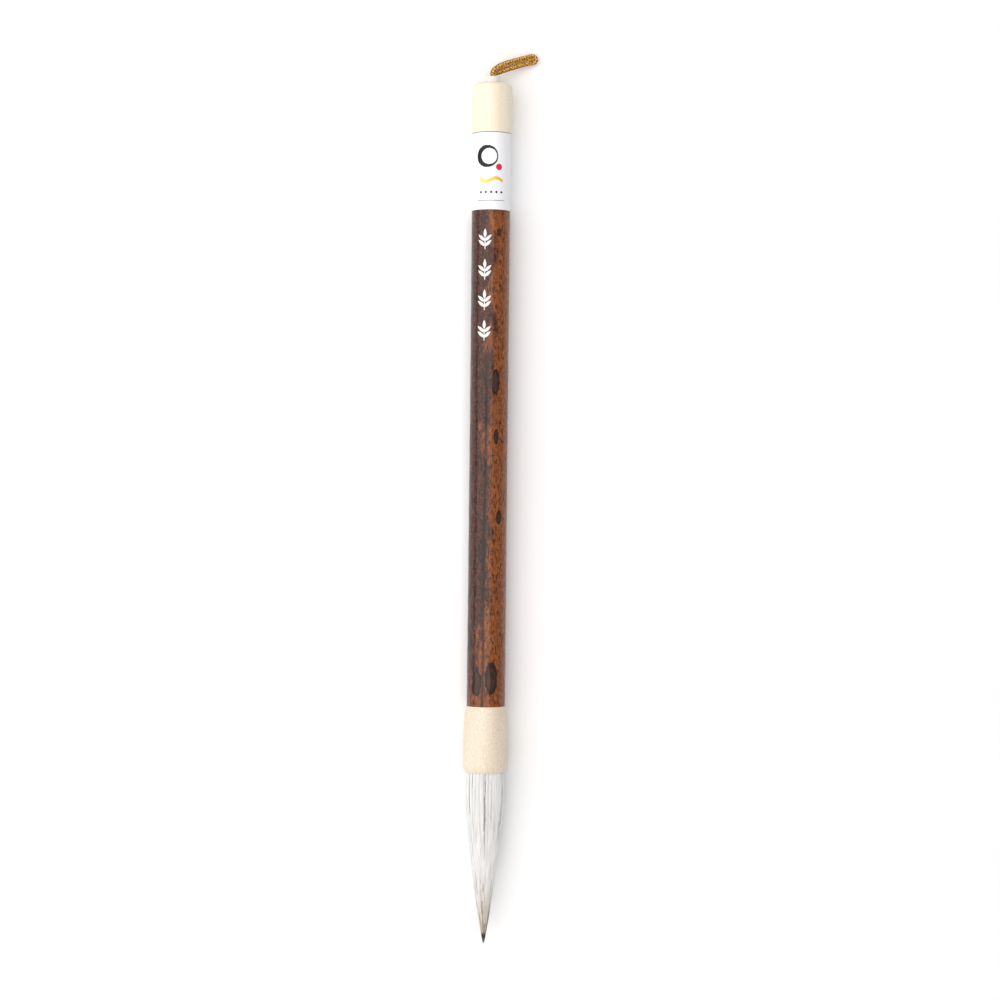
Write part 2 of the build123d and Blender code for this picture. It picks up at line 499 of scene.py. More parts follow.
def grow(
    name: str, graph: GeometryGraph, values: dict, base: bpy.types.Mesh | None = None
) -> bpy.types.Object:
    """Runs a Geometry Nodes tree and keeps its result as a plain mesh.

    Args:
        name: the finished piece's name.
        graph: the tree.
        values: the tree's inputs, by label.
        base: the mesh that the tree starts from, if it needs one.

    Returns:
        The finished piece, with no modifier on it.
    """
    carrier = add_object(f"{name}_base", base or bpy.data.meshes.new(f"{name}_base"))
    modifier = carrier.modifiers.new("Grow", "NODES")
    modifier.node_group = graph.tree
    for label, value in values.items():
        modifier[graph.identifiers[label]] = value
    depsgraph = bpy.context.evaluated_depsgraph_get()
    mesh = bpy.data.meshes.new_from_object(carrier.evaluated_get(depsgraph), depsgraph=depsgraph)
    bpy.data.objects.remove(carrier)
    mesh.name = name
    return add_object(name, mesh)


def join_rings(shape: bmesh.types.BMesh, rings: list[list], closed: bool = True) -> None:
    """Spans rows of points with four-sided faces.

    Args:
        shape: the mesh to add to.
        rings: rows of points, all of one count.
        closed: joins the end of each row to its start.
    """
    for ring, following in zip(rings, rings[1:]):
        for side in range(len(ring) if closed else len(ring) - 1):
            after = (side + 1) % len(ring)
            shape.faces.new((ring[side], ring[after], following[after], following[side]))


def finish_mesh(
    name: str, shape: bmesh.types.BMesh, material: bpy.types.Material
) -> bpy.types.Object:
    """Closes, orients and smooths a mesh.

    Args:
        name: the finished piece's name.
        shape: the mesh, which is used up.
        material: its finish.

    Returns:
        The finished piece.
    """
    bmesh.ops.remove_doubles(shape, verts=shape.verts[:], dist=WELD_DISTANCE)
    bmesh.ops.recalc_face_normals(shape, faces=shape.faces[:])
    for face in shape.faces:
        face.smooth = True
    mesh = bpy.data.meshes.new(name)
    shape.to_mesh(mesh)
    shape.free()
    mesh.set_sharp_from_angle(angle=TURNED_EDGE)
    mesh.materials.append(material)
    return add_object(name, mesh)


def lathe(
    name: str, outline: Outline, material: bpy.types.Material, sides: int = 144
) -> bpy.types.Object:
    """Turns a closed outline round the brush's axis.

    Args:
        name: the piece's name.
        outline: (radius, y) points, in order round the section.
        material: its finish.
        sides: the number of facets round the piece.

    Returns:
        The turned piece.
    """
    shape = bmesh.new()
    angles = [2 * math.pi * side / sides for side in range(sides)]
    rings = [
        [
            shape.verts.new((radius * math.sin(a), y, AT.axis_z + radius * math.cos(a)))
            for a in (angles if radius > 0 else angles[:1])
        ]
        for radius, y in outline
    ]
    for ring, following in zip(rings, rings[1:] + rings[:1]):
        if len(ring) == len(following) == 1:
            continue
        for side in range(sides):
            after = (side + 1) % sides
            corners = [ring[side % len(ring)], ring[after % len(ring)]]
            corners += [following[after % len(following)], following[side % len(following)]]
            shape.faces.new(list(dict.fromkeys(corners)))
    return finish_mesh(name, shape, material)


def softened(points: Outline, radii: list[float], steps: int = 5) -> Outline:
    """Rounds the corners of a closed outline.

    Args:
        points: the sharp outline.
        radii: how far each corner's rounding reaches along its sides; 0 keeps it sharp.
        steps: the number of spans in each rounding.

    Returns:
        The rounded outline.
    """
    result = []
    for index, (corner, reach) in enumerate(zip(points, radii)):
        if reach == 0:
            result.append(corner)
            continue
        here = Vector(corner)
        before = Vector(points[index - 1])
        after = Vector(points[(index + 1) % len(points)])
        start = here + (before - here).normalized() * reach
        end = here + (after - here).normalized() * reach
        for step in range(steps + 1):
            t = step / steps
            point = start * (1 - t) ** 2 + here * (2 * t * (1 - t)) + end * t**2
            result.append((point.x, point.y))
    return result


def dress(node: str, material: bpy.types.Material) -> None:
    """Gives a CAD node its finish.

    Args:
        node: the CAD node's name.
        material: its finish.
    """
    slots = frame["nodes"][node].data.materials
    slots.clear()
    slots.append(material)
    LOG.info("dressed %s", node)


def stand_for(piece: bpy.types.Object, body: Body, slot: str, *nodes: str) -> None:
    """Rides a rigid piece on its body and claims its place.

    Args:
        piece: the piece.
        body: the body that it moves with.
        slot: its finish, in a plain word or two.
        nodes: the CAD nodes that it replaces.
    """
    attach(piece, body.value)
    claim(piece, slot, *nodes)


def claim(piece: bpy.types.Object, slot: str, *nodes: str) -> None:
    """Hides the CAD nodes that a piece replaces, and reports the piece.

    Args:
        piece: the piece.
        slot: its finish, in a plain word or two; not used.
        nodes: the CAD nodes that it replaces.
    """
    if nodes:
        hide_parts(*nodes)
    LOG.info("made %s with %d faces", piece.name, len(piece.data.polygons))


def bend(piece: bpy.types.Object, bodies: tuple[Body, Body], start: Vector, end: Vector) -> None:
    """Bakes a piece's placement into its mesh.

    Args:
        piece: the piece.
        bodies: the body before the span and the one after it; not used.
        start: where the piece starts to bend; not used.
        end: where it has turned fully; not used.
    """
    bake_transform(piece)


def on_axis(y: float) -> Vector:
    """The point of the brush's axis at this Y."""
    return Vector((0, y, AT.axis_z))


# ---------------------------------------------------------------- finishes


@dataclass(frozen=True)
class BambooFinish:
    """Mottled brown bamboo under a clear lacquer, darker on one side of the culm."""

    name: str = "mottled_bamboo"
    umber: tuple = (0.030, 0.008, 0.004)
    russet: tuple = (0.115, 0.027, 0.010)
    coral: tuple = (0.230, 0.072, 0.034)
    orange: tuple = (0.205, 0.047, 0.007)
    straw: tuple = (0.360, 0.125, 0.028)
    black: tuple = (0.010, 0.004, 0.002)
    scar: tuple = (0.062, 0.021, 0.010)
    radius_mm: float = 5.6
    # How far the warm side leans with the place across the culm, with chance, and by the ferrule.
    lean_across: float = 0.13
    lean_by_chance: float = 2.4
    lean_low: float = 0.48
    low_stretch: tuple = (-22.0, -44.0)
    vein_sharpness: float = 13.0
    relief_height: float = 0.07 * MM
    # Branch scars: millimetres round the culm from the top, place along it as a share of its
    # length, half-width and half-length.
    scars: tuple = (
        (-3.0, 0.042, 1.6, 4.0), (1.45, 0.050, 1.95, 4.6), (2.3, 0.47, 0.8, 2.2),
        (1.9, 0.565, 1.3, 3.8), (2.6, 0.825, 0.7, 1.1), (-1.6, 0.27, 1.2, 3.3),
        (3.4, 0.33, 0.9, 2.0), (-6.8, 0.12, 1.6, 4.0), (8.4, 0.21, 1.3, 3.4),
        (-9.5, 0.40, 1.2, 2.8), (14.2, 0.52, 1.7, 4.4), (-14.0, 0.66, 1.0, 2.4),
        (9.8, 0.72, 1.4, 3.0), (17.0, 0.17, 1.2, 3.1),
    )

    def material(self) -> bpy.types.Material:
        """Builds the finish: broad tones, bark-like flecks, branch scars, a fine grain and painted
        shade in the groove.

        Returns:
            The material.
        """
        g = MaterialGraph(
            self.name,
            roughness=0.55, specular_ior_level=0.2, coat_weight=0.52, coat_roughness=0.08,
        )
        side, along = g.xyz(g.place())[:2]
        waver = g.noise(g.stretched(0.16, 0.075, 0.16), detail=5, roughness=0.65)
        lean = g.plus(g.times(side, self.lean_across), g.centred(waver, self.lean_by_chance))
        lean = g.plus(lean, g.times(g.between(along, *self.low_stretch), self.lean_low))
        warm = g.between(lean, -0.12, 0.22)
        fleck = g.noise(g.stretched(1.9, 0.62, 1.9), detail=6, roughness=0.72)
        crackle = g.noise(g.stretched(1.2, 0.75, 1.2), detail=4, roughness=0.6)
        off = g.times(g.size(g.minus(crackle, 0.5)), self.vein_sharpness)
        vein = g.math("SUBTRACT", 1.0, off, clamp=True)
        fibre = g.noise(g.stretched(5.0, 0.22, 5.0), detail=3)
        base = g.mix(warm, self.umber, self.orange)
        pale = g.mix(warm, self.russet, self.straw)
        base = g.stain(base, g.between(fleck, 0.50, 0.36), 0.75, pale)
        veins = g.mix(warm, self.coral, self.straw)
        base = g.stain(base, g.times(vein, g.between(fibre, 0.35, 0.60)), 0.7, veins)
        base = g.stain(base, g.between(fleck, 0.52, 0.61), 0.88, self.black)
        base = g.stain(base, g.between(fibre, 0.52, 0.70), 0.65, self.umber)
        whole, middle = self.scar_masks(g)
        base = g.stain(base, whole, 0.95, self.black)
        base = g.mix(g.times(middle, g.between(fleck, 0.62, 0.40)), base, self.scar)
        # Painted shade: the colour darkens towards black with the depth of the groove.
        base = g.stain(base, g.attribute("groove"), 0.92, self.black)
        g.colour(base)
        g.bump(g.plus(g.times(fibre, 0.4), g.times(fleck, 0.6)), self.relief_height, strength=0.5)
        return g.material

    def scar_masks(self, g: MaterialGraph) -> tuple[Socket, Socket]:
        """The branch scars.

        Args:
            g: the material's tree.

        Returns:
            Masks of the whole scars and of their middles, with ragged edges.
        """
        x, y, z = g.xyz(g.place())
        across = g.times(g.math("ARCTAN2", x, z), self.radius_mm)
        ragged = g.noise(g.stretched(0.8, 0.45, 0.8), detail=4)
        fray = g.centred(ragged, 0.5)
        low, high = AT.ferrule_top / MM, AT.handle_top / MM
        nearest = None
        for round_at, share, half_width, half_length in self.scars:
            dx = g.over(g.minus(across, round_at), half_width)
            dy = g.over(g.minus(y, low + share * (high - low)), half_length)
            away = g.length(dx, dy)
            nearest = away if nearest is None else g.math("MINIMUM", nearest, away)
        nearest = g.plus(nearest, fray)
        return g.between(nearest, 1.05, 0.95), g.between(nearest, 0.80, 0.62)


@dataclass(frozen=True)
class TurnedWoodFinish:
    """Pale turned wood with short ray flecks."""

    name: str = "pale_turned_wood"
    light: tuple = (0.805, 0.700, 0.560)
    deep: tuple = (0.755, 0.635, 0.485)
    ray: tuple = (0.560, 0.400, 0.270)
    glint: tuple = (0.900, 0.840, 0.740)
    ray_strength: float = 0.30
    grain_tilt: float = 9.0
    relief_height: float = 0.05 * MM

    def material(self) -> bpy.types.Material:
        """Builds the finish: broad bands of tone, slanting ray flecks and fine pores.

        Returns:
            The material.
        """
        g = MaterialGraph(self.name, roughness=0.46, coat_weight=0.12, coat_roughness=0.3)
        broad = g.noise(g.stretched(0.42, 0.035, 0.42), detail=3)
        rays = g.noise(g.stretched(4.6, 1.25, 4.6, self.grain_tilt), detail=1, roughness=0.4)
        pores = g.noise(g.stretched(8.0, 0.7, 8.0, self.grain_tilt), detail=2)
        base = g.ramp(broad, (0.34, self.light), (0.68, self.deep))
        base = g.stain(base, g.between(rays, 0.52, 0.70), self.ray_strength, self.ray)
        base = g.stain(base, g.between(rays, 0.46, 0.30), 0.5, self.glint)
        base = g.stain(base, g.between(pores, 0.60, 0.74), 0.30, self.ray)
        g.colour(base)
        g.roughness(g.plus(0.40, g.times(pores, 0.16)))
        relief = g.minus(1.0, g.plus(g.times(rays, 0.6), g.times(pores, 0.4)))
        g.bump(relief, self.relief_height, strength=0.5)
        return g.material


@dataclass(frozen=True)
class PlainFinish:
    """A plain material with a soft mottle: enamel, resin, thread or paint."""

    name: str
    light: tuple
    deep: tuple
    grain: float = 1.2
    rough: float = 0.4
    relief: float = 0.02 * MM
    coat: float = 0.0

    def material(self) -> bpy.types.Material:
        """Builds the finish.

        Returns:
            The material.
        """
        g = MaterialGraph(
            self.name, roughness=self.rough, coat_weight=self.coat, coat_roughness=0.1
        )
        mottle = g.noise(g.stretched(self.grain, self.grain, self.grain), detail=4)
        g.colour(g.ramp(mottle, (0.35, self.light), (0.70, self.deep)))
        fine = g.noise(g.stretched(*(self.grain * 6,) * 3), detail=2)
        g.roughness(g.plus(self.rough - 0.05, g.times(fine, 0.1)))
        g.bump(fine, distance=self.relief, strength=0.6)
        return g.material


@dataclass(frozen=True)
class HairFinish:
    """Fine pale hair that turns beige and ends in a black point, with a few strands darkened as
    painted shadow lines.
    """

    name: str
    pale: tuple = (0.930, 0.925, 0.915)
    shade: tuple = (0.820, 0.805, 0.785)
    beige: tuple = (0.800, 0.735, 0.620)
    brown: tuple = (0.190, 0.115, 0.060)
    black: tuple = (0.010, 0.008, 0.007)
    # Painted shadow: a dark colour laid on a few strands as the shadow lines between locks, with
    # their share and reach.
    shadow_grey: tuple = (0.090, 0.085, 0.082)
    shadow_share: float = 0.013
    shadow_reach: float = 0.55
    turning: tuple = (0.62, 0.88)
    brown_tones: tuple = (0.64, 0.70)
    brown_by: float = 0.84
    point: tuple = (0.925, 0.950)

    def material(self) -> bpy.types.Material:
        """Builds the finish from the stored station of each point and tone of each strand.

        Returns:
            The material.
        """
        g = MaterialGraph(self.name, roughness=0.42, sheen_weight=0.25, sheen_roughness=0.4)
        station, tone = g.attribute("station"), g.attribute("tone")
        wave = g.noise(g.stretched(1.1, 0.10, 1.1), detail=3)
        along = g.plus(station, g.centred(tone, 0.20))
        base = g.mix(g.between(wave, 0.40, 0.75), self.pale, self.shade)
        base = g.mix(g.between(along, *self.turning), base, self.beige)
        own = g.centred(g.fraction(tone, 53.0), 0.30)
        starts = g.between(g.plus(station, own), self.turning[0], self.brown_by)
        browned = g.times(g.between(tone, *self.brown_tones), starts)
        base = g.stain(base, browned, 0.92, self.brown)
        # Painted shadow: a few strands are darkened as the shadow lines between locks.
        base = g.mix(self.shadow_streaks(g, station, tone), base, self.shadow_grey)
        point = g.plus(station, g.centred(tone, 0.02))
        g.colour(g.mix(g.between(point, *self.point), base, self.black))
        return g.material

    def shadow_streaks(self, g: MaterialGraph, station: Socket, tone: Socket) -> Socket:
        """The few strands darkened as painted shadow lines between locks, each with its own length
        and strength.

        Args:
            g: the material's tree.
            station: the place along the tuft, from 0 to 1.
            tone: each strand's own number, from 0 to 1.

        Returns:
            How far a strand is darkened.
        """
        streak = g.below(tone, self.shadow_share)
        reach = g.times(g.fraction(tone, 977.0), self.shadow_reach)
        shown = g.between(g.minus(station, reach), 0.06, -0.06)
        strength = g.plus(0.25, g.times(g.fraction(tone, 613.0), 0.75))
        return g.times(g.times(streak, shown), strength)


@dataclass(frozen=True)
class BraidFinish:
    """Lustrous gold yarn, each carrier a little different, over a dark filler, with painted shade
    where a yarn dives under the others.
    """

    name: str = "gold_braid_yarn"
    gold: tuple = (0.880, 0.560, 0.085)
    amber: tuple = (0.640, 0.270, 0.022)
    dark: tuple = (0.055, 0.026, 0.006)
    relief_height: float = 0.03 * MM

    def material(self) -> bpy.types.Material:
        """Builds the finish from each yarn's own tone and the painted shade where it dives under
        the others.

        Returns:
            The material.
        """
        g = MaterialGraph(self.name, roughness=0.40, sheen_weight=0.3, sheen_roughness=0.35)
        yarn = g.attribute("yarn")
        fine = g.noise(g.stretched(7.0, 7.0, 7.0), detail=3)
        base = g.ramp(yarn, (0.0, self.gold), (0.50, self.amber), (0.85, self.dark))
        g.colour(g.stain(base, g.between(fine, 0.50, 0.75), 0.35, self.amber))
        g.bump(fine, self.relief_height, strength=0.5)
        return g.material


@dataclass(frozen=True)
class LabelFinish:
    """Glossy white paper with an abstract print: ink ring, red dot, gold ripple and lozenges."""

    name: str = "glossy_printed_paper"
    paper: tuple = (0.900, 0.905, 0.925)
    ink: tuple = (0.012, 0.010, 0.012)
    red: tuple = (0.720, 0.030, 0.055)
    gold: tuple = (0.860, 0.480, 0.030)
    lemon: tuple = (0.930, 0.820, 0.120)
    paper_shade: tuple = (0.78, 0.80, 0.86)
    relief_height: float = 0.02 * MM
    # The print, in millimetres across and up from the middle of the label's lower edge.
    dot_centre: tuple = (2.3, 12.3)
    dot_radius: float = 0.95
    ring_centre: tuple = (-0.9, 15.4)
    ring_radius: float = 2.75
    ring_half_stroke: float = 0.36
    ring_thinning: float = -0.10
    lozenge_pitch: float = 1.55
    lozenge_height: float = 5.0
    lozenge_size: float = 0.42
    lozenge_reach: float = 3.9
    # Strokes: height, half-width, reach each side of the middle, and ripple.
    ripple: tuple = (8.6, 0.48, 3.5, 0.5)
    rule: tuple = (2.6, 0.07, 4.2, 0.0)

    def material(self, low_y: float) -> bpy.types.Material:
        """Builds the finish.

        Args:
            low_y: the Y of the label's lower edge.

        Returns:
            The material.
        """
        g = MaterialGraph(
            self.name,
            roughness=0.35, specular_ior_level=0.15, coat_weight=0.22, coat_roughness=0.06,
        )
        x, y, z = g.xyz(g.place())
        radius = g.length(x, z)
        at = (g.times(g.math("ARCTAN2", x, z), radius), g.minus(y, low_y / MM))
        dry = g.noise(g.stretched(3.0, 3.0, 3.0), detail=4, roughness=0.7)
        fibre = g.noise(g.stretched(2.2, 2.2, 2.2), detail=4)
        base = g.mix(g.times(fibre, 0.10), self.paper, self.paper_shade)
        ripple = self.bar(g, at, *self.ripple)
        colours = g.ramp(g.between(at[0], -3.5, 3.5), (0.0, self.lemon), (1.0, self.gold))
        base = g.mix(ripple, base, colours)
        dot = g.below(self.away(g, at, self.dot_centre), self.dot_radius)
        base = g.mix(dot, base, self.red)
        base = g.mix(self.ink_ring(g, at, dry), base, self.ink)
        base = g.mix(self.lozenges(g, at), base, self.ink)
        base = g.mix(self.bar(g, at, *self.rule), base, self.ink)
        g.colour(base)
        g.bump(fibre, self.relief_height, strength=0.3)
        return g.material

    @staticmethod
    def away(g: MaterialGraph, at: Place, centre: tuple) -> Socket:
        """The distance from a point of the label, in millimetres.

        Args:
            g: the material's tree.
            at: the place on the label.
            centre: the point, across and up from the middle of the label's lower edge.

        Returns:
            The distance.
        """
        return g.length(g.minus(at[0], centre[0]), g.minus(at[1], centre[1]))

    def ink_ring(self, g: MaterialGraph, at: Place, dry: Socket) -> Socket:
        """A hand-drawn ring whose stroke thins to the right.

        Args:
            g: the material's tree.
            at: the place on the label.
            dry: the noise that frays the stroke.

        Returns:
            The ring's mask.
        """
        away = self.away(g, at, self.ring_centre)
        lift = g.plus(g.times(at[0], self.ring_thinning), g.centred(dry, 0.5))
        half = g.plus(self.ring_half_stroke, lift)
        return g.below(g.size(g.minus(away, self.ring_radius)), half)

    @staticmethod
    def bar(
        g: MaterialGraph, at: Place, centre: float, half_width: float, reach: float, sway: float
    ) -> Socket:
        """A stroke across the label.

        Args:
            g: the material's tree.
            at: the place on the label.
            centre: its height over the label's lower edge.
            half_width: half its width.
            reach: how far it runs each side of the middle.
            sway: how far it ripples.

        Returns:
            The stroke's mask.
        """
        wave = g.times(g.math("SINE", g.times(at[0], 1.1)), sway)
        inside = g.below(g.size(g.minus(g.minus(at[1], centre), wave)), half_width)
        return g.times(inside, g.below(g.size(at[0]), reach))

    def lozenges(self, g: MaterialGraph, at: Place) -> Socket:
        """A row of five small lozenges.

        Args:
            g: the material's tree.
            at: the place on the label.

        Returns:
            The row's mask.
        """
        pitch = self.lozenge_pitch
        phase = g.math("PINGPONG", g.plus(at[0], pitch * 20), pitch / 2)
        off = g.plus(phase, g.size(g.minus(at[1], self.lozenge_height)))
        row = g.below(off, self.lozenge_size)
        return g.times(row, g.below(g.size(at[0]), self.lozenge_reach))


# ---------------------------------------------------------------- sub-assemblies


@dataclass
class Studio:
    """The overhead camera, the soft light from the left and the white table."""

    distance: float = 0.70
    frame_width: float = 0.291
    aim_x: float = 0.0035
    aim_y: float = 0.0030
    lean_degrees: float = -0.6
    light_height: float = 0.92
    light_left: float = -2.9
    light_right: float = 0.36
    light_depth: float = 1.9
    light_radiance: float = 1.66
    room_light: float = 0.36
    table_size: float = 3.0

    def build(self) -> None:
        """Makes the camera, the lights and the table."""
        self.place_camera()
        self.place_light()
        self.lay_table()

    def place_camera(self) -> None:
        """Looks straight down at the brush, with its knob at the top of the view."""
        data = bpy.data.cameras.new("overhead_camera")
        data.lens = data.sensor_width * self.distance / self.frame_width
        camera = bpy.data.objects.new("overhead_camera", data)
        camera.location = (self.aim_x, self.aim_y, AT.axis_z + self.distance)
        camera.rotation_euler = (0, 0, math.radians(-self.lean_degrees))
        bpy.context.scene.collection.objects.link(camera)
        bpy.context.scene.camera = camera

    def place_light(self) -> None:
        """Hangs one wide soft panel over the table and to the left, and lights the room dimly."""
        width = self.light_right - self.light_left
        data = bpy.data.lights.new("soft_panel", "AREA")
        data.shape = "RECTANGLE"
        data.size, data.size_y = width, self.light_depth
        data.energy = self.light_radiance * math.pi * width * self.light_depth
        data.color = (1.0, 0.985, 0.965)
        panel = bpy.data.objects.new("soft_panel", data)
        panel.location = ((self.light_left + self.light_right) / 2, 0, self.light_height)
        bpy.context.scene.collection.objects.link(panel)
        world = bpy.data.worlds.new("pale_room")
        world.use_nodes = True
        background = world.node_tree.nodes["Background"]
        background.inputs["Color"].default_value = (0.98, 0.97, 1.0, 1.0)
        background.inputs["Strength"].default_value = self.room_light
        bpy.context.scene.world = world
        bpy.context.scene.view_settings.view_transform = "Standard"

    def lay_table(self) -> None:
        """Lays the plain white table at the brush's resting height."""
        bpy.ops.mesh.primitive_plane_add(size=self.table_size, location=(0, 0, 0))
        table = bpy.context.object
        table.name = "white_table"
        g = MaterialGraph("white_table", roughness=0.6)
        tone = g.noise(g.stretched(0.02, 0.02, 0.02), detail=2)
        g.colour(g.ramp(tone, (0.3, (0.93, 0.93, 0.93)), (0.7, (0.96, 0.96, 0.96))))
        table.data.materials.append(g.material)


@dataclass
class BambooHandle:
    """The bamboo culm, with its shallow lengthwise groove and the paint in its leaf sprigs."""

    outer: float = 5.6 * MM
    hollow: float = 3.3 * MM
    around: int = 132
    rows: int = 400
    unevenness: float = 0.085 * MM
    groove_depth: float = 0.26 * MM
    groove_width: float = 0.36 * MM
    groove_start: float = 0.055
    groove_fade: float = 0.020
    groove_angle: float = math.radians(-3.0)
    groove_drift: float = math.radians(-9.0)
    groove_drift_over: float = 0.166
    # The groove's side-to-side waver: angle and length of each wave.
    groove_waver: tuple = ((math.radians(1.2), 0.011), (math.radians(0.7), 0.0037))
    sprig_x: float = -1.6 * MM
    sprigs_below_label: tuple = (8.4 * MM, 17.2 * MM, 26.0 * MM, 34.8 * MM)
    stem_length: float = 3.6 * MM
    stem_width: float = 0.3 * MM
    leaf_length: float = 2.6 * MM
    leaf_width: float = 0.9 * MM
    leaf_turn: float = math.radians(46)
    leaf_pair_heights: tuple = (0.9 * MM, 2.4 * MM)
    paint_rise: float = 0.015 * MM
    paint_depth: float = 0.12 * MM
    least_half_width: float = 0.02 * MM

    def build(self) -> None:
        """Builds the culm and its paint."""
        culm = self.culm()
        stand_for(culm, Body.ROOT, "spotted_bamboo", "bamboo_handle")
        paint = self.leaf_paint()
        stand_for(paint, Body.ROOT, "engraving_paint", "engraved_leaf_paint")

    def surface(self, angle: np.ndarray, y: np.ndarray) -> tuple[np.ndarray, np.ndarray]:
        """The culm's radius and how deep in the groove each point is.

        Args:
            angle: angles round the axis from the top, positive towards +X.
            y: places along the brush.

        Returns:
            Radii in metres, and 0 to 1 for the groove.
        """
        along = y / 0.1
        swell = np.sin(2 * angle + 3.1 * along + 0.7)
        ripple = np.sin(8 * angle + 2.2 * np.sin(38 * along) + 1.6 * np.sin(17 * along + 1.0))
        dip = self.unevenness * (2 - swell - ripple) / 4
        below = (AT.handle_top - y - self.groove_start) / self.groove_fade
        fade = np.clip(below, 0, 1) ** 2 * (3 - 2 * np.clip(below, 0, 1))
        down = AT.handle_top - y
        middle = self.groove_angle + self.groove_drift * down / self.groove_drift_over
        for swing, span in self.groove_waver:
            middle = middle + swing * np.sin(y / span)
        off = (angle - middle + np.pi) % (2 * np.pi) - np.pi
        groove = fade * np.exp(-((off * self.outer / self.groove_width) ** 2))
        return self.outer - np.maximum(dip, 0) - self.groove_depth * groove, groove

    def culm(self) -> bpy.types.Object:
        """The hollow culm as one closed wall.

        Returns:
            The culm.
        """
        angles = np.linspace(0, 2 * np.pi, self.around, endpoint=False)
        ys = np.linspace(AT.ferrule_top, AT.handle_top, self.rows)
        grid_y, grid_a = np.meshgrid(ys, angles, indexing="ij")
        radius, groove = self.surface(grid_a, grid_y)
        walls = [(radius, grid_y, groove)]
        for y in (ys[-1], ys[0]):
            inner = np.full((1, self.around), self.hollow)
            walls.append((inner, np.full((1, self.around), y), np.zeros((1, self.around))))
        radius, grid_y, groove = (np.concatenate(parts) for parts in zip(*walls))
        angle = np.broadcast_to(angles, radius.shape)
        z = AT.axis_z + radius * np.cos(angle)
        points = np.stack([radius * np.sin(angle), grid_y, z], axis=-1)
        rings = len(radius)
        faces = []
        for ring in range(rings):
            here, there = ring * self.around, (ring + 1) % rings * self.around
            for side in range(self.around):
                after = (side + 1) % self.around
                faces.append((here + side, there + side, there + after, here + after))
        mesh = bpy.data.meshes.new("bamboo_culm")
        mesh.from_pydata(points.reshape(-1, 3).tolist(), [], faces)
        # The groove's depth is stored for the painted shade that the material lays in it.
        stored = mesh.attributes.new("groove", "FLOAT", "POINT")
        stored.data.foreach_set("value", groove.astype(np.float32).ravel())
        mesh.shade_smooth()
        mesh.set_sharp_from_angle(angle=CULM_EDGE)
        mesh.materials.append(BambooFinish().material())
        return add_object("bamboo_culm", mesh)

    def leaf_paint(self) -> bpy.types.Object:
        """White paint in the engraved sprigs, a hair proud of the lacquer.

        Returns:
            The paint.
        """
        shape = bmesh.new()
        label_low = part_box("label_sleeve")[0].y
        turns = (self.leaf_turn, -self.leaf_turn)
        places = [(height, turn) for height in self.leaf_pair_heights for turn in turns]
        places.append((self.stem_length - self.leaf_width / 4, 0.0))
        for down in self.sprigs_below_label:
            foot = label_low - down - (self.stem_length + self.leaf_length) / 2
            self.add_stroke(shape, foot, 0.0, self.stem_length, self.stem_width, blunt=True)
            for height, turn in places:
                self.add_stroke(shape, foot + height, turn, self.leaf_length, self.leaf_width)
        finish = PlainFinish("engraving_white", (0.86, 0.85, 0.82), (0.74, 0.72, 0.68), 2.5, 0.55)
        return finish_mesh("sprig_paint", shape, finish.material())

    def add_stroke(
        self,
        shape: bmesh.types.BMesh,
        foot: float,
        turn: float,
        length: float,
        width: float,
        blunt: bool = False,
    ) -> None:
        """Adds a leaf or a stem as a thin block that follows the culm's round.

        Args:
            shape: the mesh to add to.
            foot: the Y of its foot, on the sprig's middle line.
            turn: its turn from straight along the brush.
            length: its length.
            width: its width at the widest.
            blunt: a stem's even width, in place of a leaf's points.
        """
        spans, lanes = 16, 6
        layers = []
        for radius in (self.outer + self.paint_rise, self.outer - self.paint_depth):
            layer = []
            for span in range(spans + 1):
                t = span / spans
                if blunt:
                    fullness = 0.8 + 0.2 * math.sin(math.pi * t)
                else:
                    fullness = math.sin(math.pi * t**0.85) ** 0.8
                half = max(width / 2 * fullness, self.least_half_width)
                row = []
                for lane in range(lanes + 1):
                    u, w = (2 * lane / lanes - 1) * half, t * length
                    x = self.sprig_x + u * math.cos(turn) - w * math.sin(turn)
                    y = foot + u * math.sin(turn) + w * math.cos(turn)
                    row.append(shape.verts.new((x, y, AT.axis_z + math.sqrt(radius**2 - x**2))))
                layer.append(row)
            layers.append(layer)
        for layer in layers:
            join_rings(shape, layer, closed=False)
        edge, under = (self.rim(layer) for layer in layers)
        for index, vert in enumerate(edge):
            after = (index + 1) % len(edge)
            shape.faces.new((vert, edge[after], under[after], under[index]))

    @staticmethod
    def rim(layer: list[list]) -> list:
        """The points round the edge of a grid of points, in order.

        Args:
            layer: the grid, as rows of points.

        Returns:
            The rim's points.
        """
        left = [row[0] for row in layer]
        right = [row[-1] for row in layer]
        return left + layer[-1][1:] + right[-2::-1] + layer[0][-2:0:-1]


@dataclass
class LabelSleeve:
    """The glossy paper label, wrapped once round the culm and lapped underneath."""

    wrap_radius: float = 5.61 * MM
    thickness: float = 0.09 * MM
    lap_start: float = math.radians(165)
    lap_angle: float = math.radians(22)
    lap_rise: float = 0.10
    lap_clearance: float = 0.01 * MM
    gap_at_cap: float = 0.17 * MM
    columns: int = 200

    def build(self) -> None:
        """Builds the wrapped paper."""
        low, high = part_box("label_sleeve")
        ys = (low.y, high.y - self.gap_at_cap)
        total = 2 * math.pi + self.lap_angle
        shape = bmesh.new()
        sections = []
        for column in range(self.columns + 1):
            turned = total * column / self.columns
            lift = min(max((turned - 2 * math.pi + self.lap_rise) / self.lap_rise, 0), 1)
            inner = self.wrap_radius + lift * (self.thickness + self.lap_clearance)
            outer = inner + self.thickness
            angle = self.lap_start + turned
            corners = ((inner, ys[0]), (outer, ys[0]), (outer, ys[1]), (inner, ys[1]))
            sections.append([
                shape.verts.new((r * math.sin(angle), y, AT.axis_z + r * math.cos(angle)))
                for r, y in corners
            ])
        join_rings(shape, sections)
        shape.faces.new(sections[0])
        shape.faces.new(sections[-1])
        label = finish_mesh("paper_label", shape, LabelFinish().material(ys[0]))
        stand_for(label, Body.ROOT, "glossy_label_paper", "label_sleeve")


